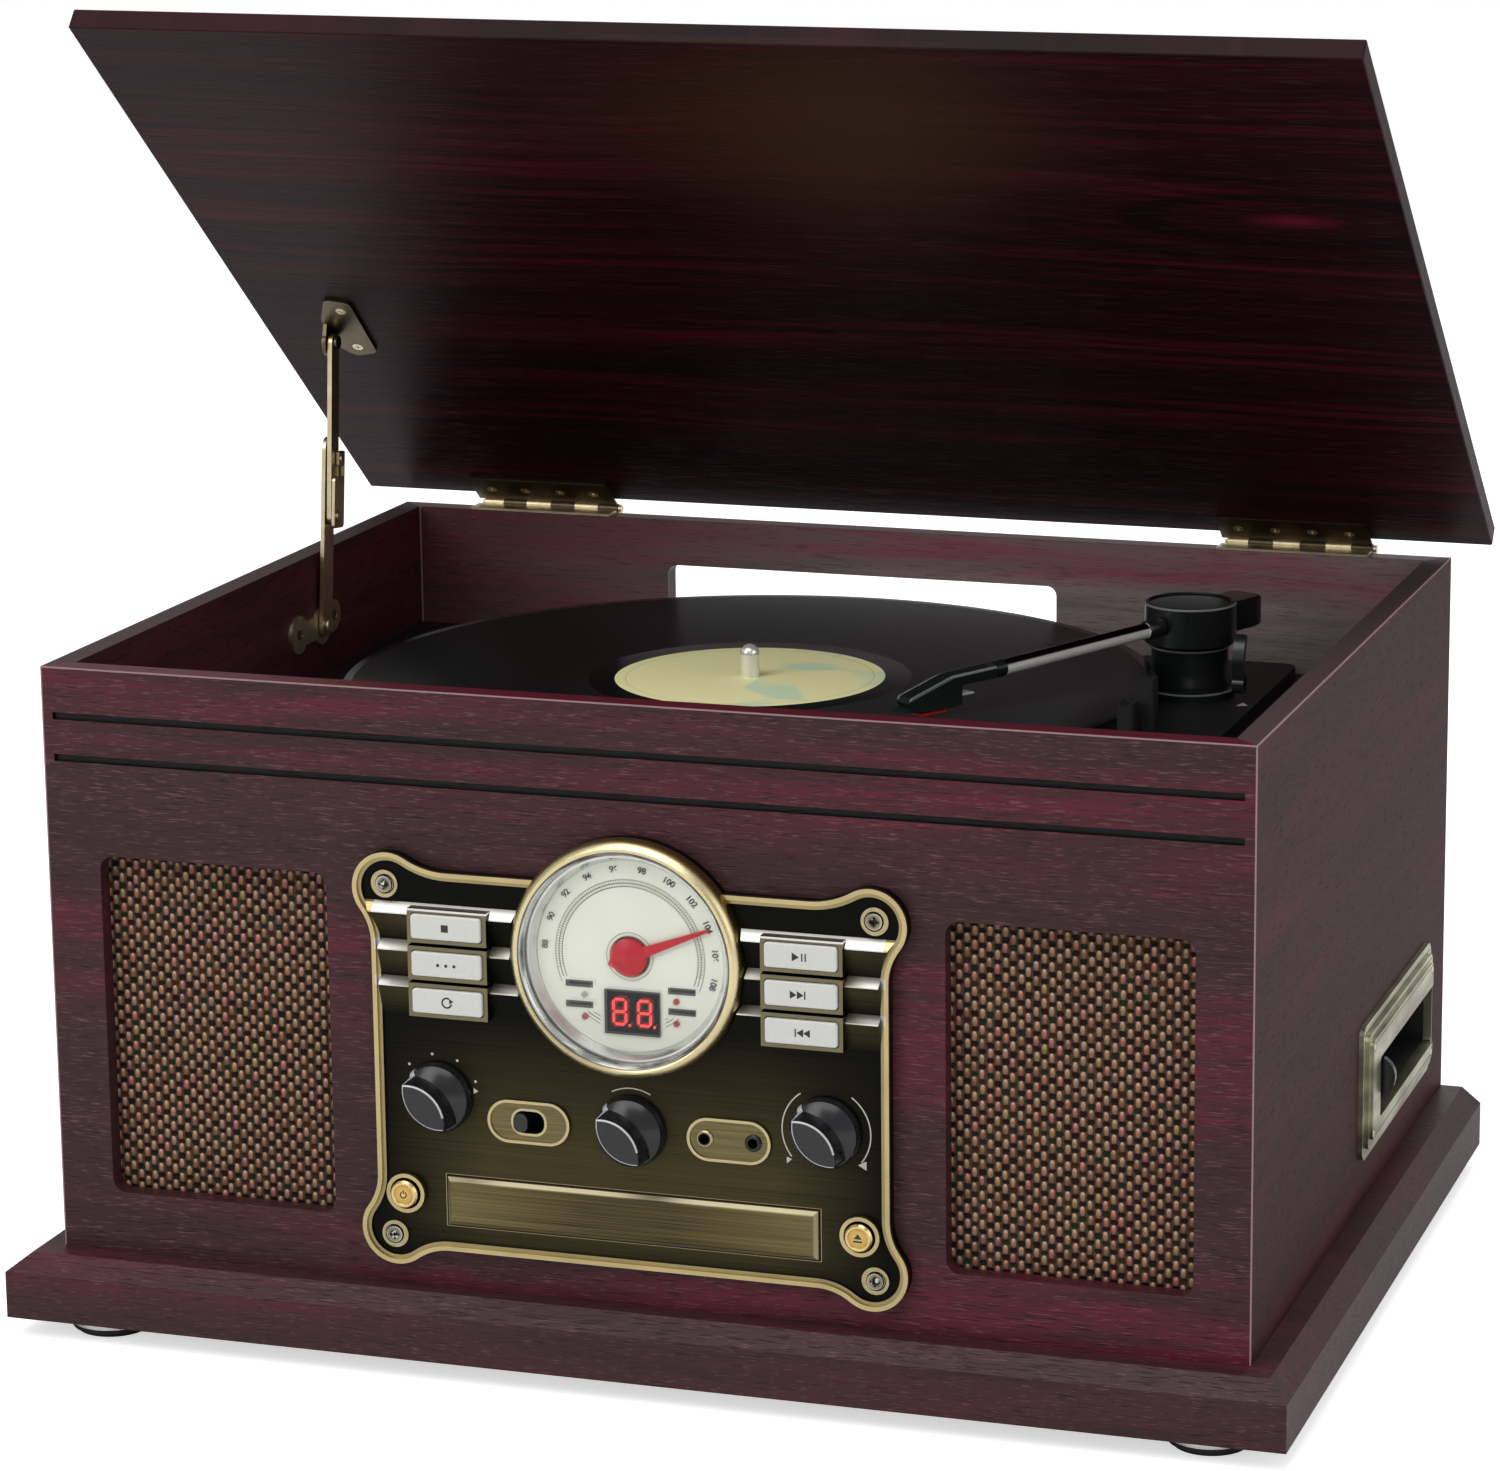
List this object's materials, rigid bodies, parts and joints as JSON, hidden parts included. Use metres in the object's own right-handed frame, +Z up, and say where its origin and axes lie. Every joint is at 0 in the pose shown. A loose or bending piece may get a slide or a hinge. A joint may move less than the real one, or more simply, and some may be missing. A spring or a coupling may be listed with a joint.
{
  "type": "wooden stereo music centre with turntable",
  "caption": "Retro mahogany-look music centre with a turntable under a hinged lid, round radio dial, disc drawer, cassette slot and cloth-covered speakers.",
  "frame": {"origin": "centre of the overall box at floor level", "axes": "x to the right seen from the front, y to the back, z up"},
  "size_m": [0.468, 0.3513, 0.4649],
  "materials": {
    "mahogany_laminate": "satin mahogany-pattern laminate with horizontal grain",
    "lid_inner_laminate": "darker cathedral-grain laminate on the lid's inner face",
    "black_board": "black painted board",
    "antique_brass_panel": "horizontally brushed dark antique brass",
    "bright_trim": "bright pale gold plating",
    "nickel": "polished nickel-like plating",
    "hinge_brass": "antique brass plating",
    "stay_steel": "dull antique brass plating",
    "ivory_plastic": "warm white moulded plastic",
    "black_plastic": "black moulded plastic",
    "gloss_black": "glossy black plastic",
    "record_vinyl": "grooved black vinyl with a pale paper label",
    "rubber": "soft black rubber",
    "red_plastic": "red moulded plastic",
    "speaker_cloth": "woven cloth in tan, rose and brown over a dark ground",
    "clear_window": "clear domed dial window",
    "dial_print": "cream-green dial face with plain ticks and numerals",
    "bare_steel": "bright steel",
    "circuit_board": "green circuit boards with plain components"
  },
  "bodies": {
    "cabinet": {"front_board": "mahogany_laminate", "back_board": "mahogany_laminate", "left_side_board": "mahogany_laminate", "right_side_board": "mahogany_laminate", "bottom_board": "black_board", "base_rails": "mahogany_laminate", "feet": "nickel", "deck_plate": "black_plastic", "drive_belt": "rubber", "platter_motor": "bare_steel", "tonearm_base": "gloss_black", "arm_rest": "black_plastic", "hinge_cabinet_leaves": "hinge_brass", "stay_cabinet_bracket": "stay_steel", "fascia_plate": "antique_brass_panel", "fascia_trim": "bright_trim", "jack_sockets": "bright_trim", "dial_bezel": "bright_trim", "dial_glass": "clear_window", "dial_face": "dial_print", "disc_mechanism": "bare_steel", "cassette_frame": "antique_brass_panel", "cassette_mechanism": "black_plastic", "speaker_cloths": "speaker_cloth", "speaker_drivers": "black_plastic", "circuit_boards": "circuit_board", "rear_sockets": "black_plastic", "cabinet_screws": "bare_steel"},
    "lid": {"lid_board": "lid_inner_laminate", "hinge_lid_leaves": "hinge_brass", "stay_lid_bracket": "stay_steel", "lid_screws": "bare_steel"},
    "stay_lower": {"stay_lower_arm": "stay_steel"},
    "stay_upper": {"stay_upper_arm": "stay_steel"},
    "platter_assembly": {"platter": "gloss_black", "record": "record_vinyl"},
    "pulley": {"motor_pulley": "bare_steel"},
    "arm_turret": {"tonearm_turret": "gloss_black"},
    "arm_wand": {"tonearm_tube": "nickel", "headshell": "gloss_black", "stylus": "red_plastic"},
    "cue": {"cue_lever": "black_plastic"},
    "speed": {"speed_switch": "black_plastic"},
    "key_left_upper": {"button_left_upper": "ivory_plastic"},
    "key_left_middle": {"button_left_middle": "ivory_plastic"},
    "key_left_lower": {"button_left_lower": "ivory_plastic"},
    "key_right_upper": {"button_right_upper": "ivory_plastic"},
    "key_right_middle": {"button_right_middle": "ivory_plastic"},
    "key_right_lower": {"button_right_lower": "ivory_plastic"},
    "power_key": {"power_button": "bright_trim"},
    "open_key": {"open_close_button": "bright_trim"},
    "selector": {"selector_knob": "gloss_black"},
    "tuner": {"tuning_knob": "gloss_black"},
    "volume": {"volume_knob": "gloss_black"},
    "pointer": {"dial_pointer": "red_plastic"},
    "function_slide": {"function_switch": "gloss_black"},
    "disc_drawer": {"drawer_front": "antique_brass_panel", "disc_tray": "black_plastic"},
    "cassette_key": {"cassette_lever": "gloss_black"}
  },
  "joints": [
    {"name": "lid_hinge", "type": "hinge", "parent": "cabinet", "child": "lid", "pos_m": [0, 0.17275, 0.2445], "axis": [1, 0, 0], "range_deg": [0, 39.5]},
    {"name": "stay_lower_turn", "type": "hinge", "parent": "cabinet", "child": "stay_lower", "pos_m": [-0.2064, 0.05825, 0.2145], "axis": [1, 0, 0], "range_deg": [-92.95, 0]},
    {"name": "stay_upper_turn", "type": "hinge", "parent": "lid", "child": "stay_upper", "pos_m": [-0.2042, 0.06861, 0.3249], "axis": [1, 0, 0], "range_deg": [0, 26.67]},
    {"name": "platter_spin", "type": "hinge", "parent": "cabinet", "child": "platter_assembly", "pos_m": [-0.0124, 0.00455, 0.2105], "axis": [0, 0, 1], "continuous": true},
    {"name": "pulley_spin", "type": "hinge", "parent": "cabinet", "child": "pulley", "pos_m": [-0.0724, 0.05455, 0.2035], "axis": [0, 0, 1], "continuous": true},
    {"name": "tonearm_swing", "type": "hinge", "parent": "cabinet", "child": "arm_turret", "pos_m": [0.133, 0.09325, 0.2295], "axis": [0, 0, 1], "range_deg": [-13, 27]},
    {"name": "tonearm_lift", "type": "hinge", "parent": "arm_turret", "child": "arm_wand", "pos_m": [0.133, 0.09325, 0.2295], "axis": [-0.9135, 0.4067, 0], "range_deg": [0, 6]},
    {"name": "cue_lever_turn", "type": "hinge", "parent": "cabinet", "child": "cue", "pos_m": [0.1544, 0.08425, 0.2075], "axis": [1, 0, 0], "range_deg": [0, 30]},
    {"name": "speed_switch_slide", "type": "slide", "parent": "cabinet", "child": "speed", "axis": [0, 1, 0], "range_m": [0, 0.003]},
    {"name": "left_upper_key_press", "type": "slide", "parent": "cabinet", "child": "key_left_upper", "axis": [0, 1, 0], "range_m": [0, 0.001], "stiffness_N_per_m": 300, "springref_m": -0.002},
    {"name": "left_middle_key_press", "type": "slide", "parent": "cabinet", "child": "key_left_middle", "axis": [0, 1, 0], "range_m": [0, 0.001], "stiffness_N_per_m": 300, "springref_m": -0.002},
    {"name": "left_lower_key_press", "type": "slide", "parent": "cabinet", "child": "key_left_lower", "axis": [0, 1, 0], "range_m": [0, 0.001], "stiffness_N_per_m": 300, "springref_m": -0.002},
    {"name": "right_upper_key_press", "type": "slide", "parent": "cabinet", "child": "key_right_upper", "axis": [0, 1, 0], "range_m": [0, 0.001], "stiffness_N_per_m": 300, "springref_m": -0.002},
    {"name": "right_middle_key_press", "type": "slide", "parent": "cabinet", "child": "key_right_middle", "axis": [0, 1, 0], "range_m": [0, 0.001], "stiffness_N_per_m": 300, "springref_m": -0.002},
    {"name": "right_lower_key_press", "type": "slide", "parent": "cabinet", "child": "key_right_lower", "axis": [0, 1, 0], "range_m": [0, 0.001], "stiffness_N_per_m": 300, "springref_m": -0.002},
    {"name": "power_press", "type": "slide", "parent": "cabinet", "child": "power_key", "axis": [0, 1, 0], "range_m": [0, 0.001], "stiffness_N_per_m": 300, "springref_m": -0.002},
    {"name": "open_close_press", "type": "slide", "parent": "cabinet", "child": "open_key", "axis": [0, 1, 0], "range_m": [0, 0.001], "stiffness_N_per_m": 300, "springref_m": -0.002},
    {"name": "selector_turn", "type": "hinge", "parent": "cabinet", "child": "selector", "pos_m": [-0.0705, -0.16675, 0.1005], "axis": [0, 1, 0], "range_deg": [-60, 30]},
    {"name": "tuning_turn", "type": "hinge", "parent": "cabinet", "child": "tuner", "pos_m": [0.0005, -0.16675, 0.0945], "axis": [0, -1, 0], "range_deg": [-44.2, 255.8]},
    {"name": "volume_turn", "type": "hinge", "parent": "cabinet", "child": "volume", "pos_m": [0.0707, -0.16675, 0.1002], "axis": [0, 1, 0], "range_deg": [-90, 210]},
    {"name": "pointer_turn", "type": "hinge", "parent": "cabinet", "child": "pointer", "pos_m": [0.0007, -0.16175, 0.1561], "axis": [0, -1, 0], "range_deg": [-28.1, 162.1]},
    {"name": "function_slide_move", "type": "slide", "parent": "cabinet", "child": "function_slide", "axis": [1, 0, 0], "range_m": [0, 0.0052]},
    {"name": "drawer_slide", "type": "slide", "parent": "cabinet", "child": "disc_drawer", "axis": [0, -1, 0], "range_m": [0, 0.13]},
    {"name": "cassette_key_press", "type": "slide", "parent": "cabinet", "child": "cassette_key", "axis": [-1, 0, 0], "range_m": [0, 0.006], "stiffness_N_per_m": 150, "springref_m": -0.004}
  ],
  "couplings": [
    {"joint": "stay_lower_turn", "follows": "lid_hinge", "ratio": -2.353},
    {"joint": "stay_upper_turn", "follows": "lid_hinge", "ratio": 0.67493},
    {"joint": "pulley_spin", "follows": "platter_spin", "ratio": 12},
    {"joint": "tonearm_lift", "follows": "cue_lever_turn", "ratio": 0.2},
    {"joint": "pointer_turn", "follows": "tuning_turn", "ratio": 0.633}
  ]
}
